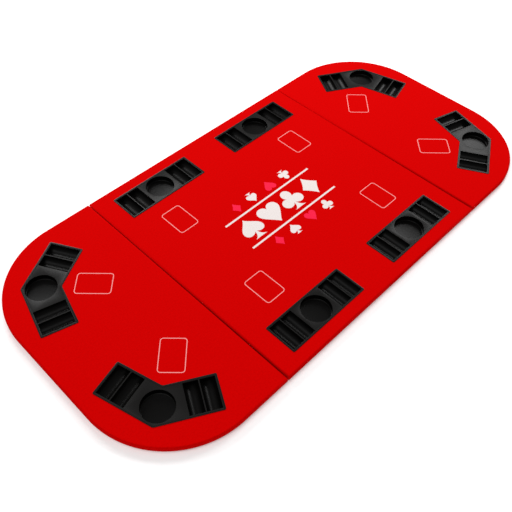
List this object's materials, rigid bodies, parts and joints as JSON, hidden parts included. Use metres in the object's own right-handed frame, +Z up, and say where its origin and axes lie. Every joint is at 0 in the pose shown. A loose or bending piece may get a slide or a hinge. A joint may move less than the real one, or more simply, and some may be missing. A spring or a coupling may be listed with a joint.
{
  "type": "folding poker table top",
  "caption": "Oblong folding card table top with round corners, felt on foam on board, hinged in panels, with moulded cup and chip trays along its edge.",
  "frame": {"origin": "centre of the opened table top, on the plane of the feet", "axes": "+X along the length, +Y across the width, +Z up out of the felt"},
  "size_m": [1.6, 0.8, 0.021],
  "materials": {
    "felt": "matte",
    "tray_plastic": "satin",
    "fibreboard": "matte",
    "foam": "matte",
    "rubber": "matte",
    "zinc": "satin",
    "tape_cloth": "matte",
    "print_white": "matte",
    "print_pink": "matte"
  },
  "bodies": {
    "end_left": {"end_left_board": "fibreboard", "end_left_foam": "foam", "end_left_felt": "felt", "end_left_feet": "rubber", "end_left_screws": "zinc", "end_left_staples": "zinc", "corner_tray_far_left": "tray_plastic", "corner_tray_near_left": "tray_plastic", "hinge_left_far_end_leaf": "zinc", "hinge_left_far_pin": "zinc", "hinge_left_centre_end_leaf": "zinc", "hinge_left_centre_pin": "zinc", "hinge_left_near_end_leaf": "zinc", "hinge_left_near_pin": "zinc"},
    "middle_left": {"middle_left_board": "fibreboard", "middle_left_foam": "foam", "middle_left_felt": "felt", "middle_left_feet": "rubber", "middle_left_screws": "zinc", "middle_left_staples": "zinc", "side_tray_far_left": "tray_plastic", "side_tray_near_left": "tray_plastic", "centre_tape_left": "tape_cloth", "hinge_left_far_middle_leaf": "zinc", "hinge_left_centre_middle_leaf": "zinc", "hinge_left_near_middle_leaf": "zinc"},
    "end_right": {"end_right_board": "fibreboard", "end_right_foam": "foam", "end_right_felt": "felt", "end_right_feet": "rubber", "end_right_screws": "zinc", "end_right_staples": "zinc", "corner_tray_far_right": "tray_plastic", "corner_tray_near_right": "tray_plastic", "hinge_right_far_end_leaf": "zinc", "hinge_right_far_pin": "zinc", "hinge_right_centre_end_leaf": "zinc", "hinge_right_centre_pin": "zinc", "hinge_right_near_end_leaf": "zinc", "hinge_right_near_pin": "zinc"},
    "middle_right": {"middle_right_board": "fibreboard", "middle_right_foam": "foam", "middle_right_felt": "felt", "middle_right_feet": "rubber", "middle_right_screws": "zinc", "middle_right_staples": "zinc", "side_tray_far_right": "tray_plastic", "side_tray_near_right": "tray_plastic", "centre_tape_right": "tape_cloth", "hinge_right_far_middle_leaf": "zinc", "hinge_right_centre_middle_leaf": "zinc", "hinge_right_near_middle_leaf": "zinc"}
  },
  "joints": [
    {"name": "centre_fold", "type": "hinge", "parent": "middle_left", "child": "middle_right", "pos_m": [0, 0, 0.0212], "axis": [0, -1, 0], "range_deg": [0, 180]},
    {"name": "end_fold_left", "type": "hinge", "parent": "middle_left", "child": "end_left", "pos_m": [-0.4005, 0, 0.0024], "axis": [0, -1, 0], "range_deg": [0, 180]},
    {"name": "end_fold_right", "type": "hinge", "parent": "middle_right", "child": "end_right", "pos_m": [0.4005, 0, 0.0024], "axis": [0, 1, 0], "range_deg": [0, 180]}
  ]
}
